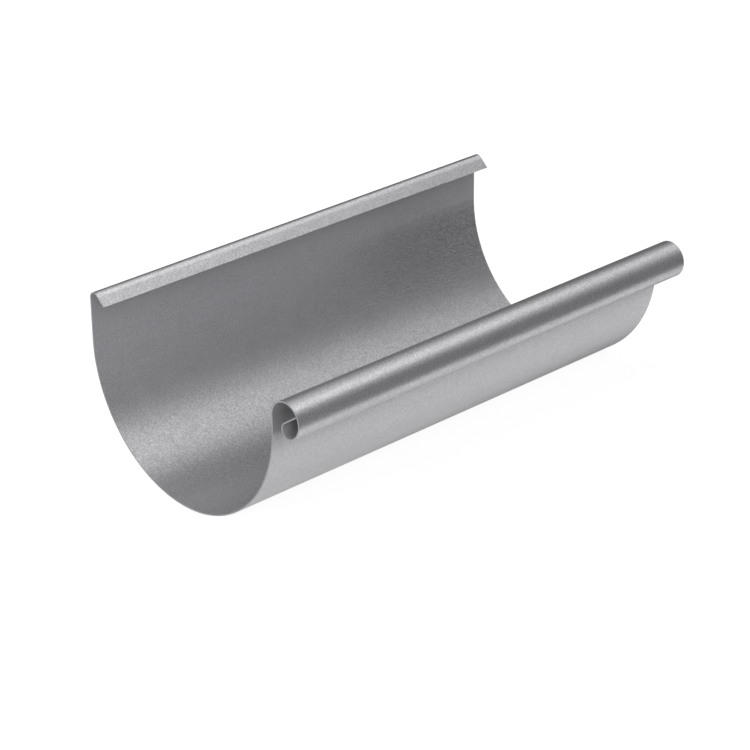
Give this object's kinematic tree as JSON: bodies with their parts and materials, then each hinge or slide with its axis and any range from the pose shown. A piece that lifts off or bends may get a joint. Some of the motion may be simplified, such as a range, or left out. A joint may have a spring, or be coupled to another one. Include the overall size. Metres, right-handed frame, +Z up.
{
  "type": "half-round gutter section",
  "caption": "Short straight length of half-round eaves gutter in galvanised sheet, with a rolled bead along the front edge and a folded lip along the rear edge.",
  "frame": {"origin": "on the floor under the middle of the section, as it lies settled on its round bottom", "axes": "+X along the gutter, -Y towards the beaded front edge, +Y towards the folded rear edge, +Z up; the section is turned about X to the angle at which it balances"},
  "size_m": [0.25, 0.1424, 0.1079],
  "materials": {
    "galvanised_sheet": "dull galvanised, fine grain"
  },
  "bodies": {
    "root": {"half_round_gutter": "galvanised_sheet"}
  },
  "joints": []
}
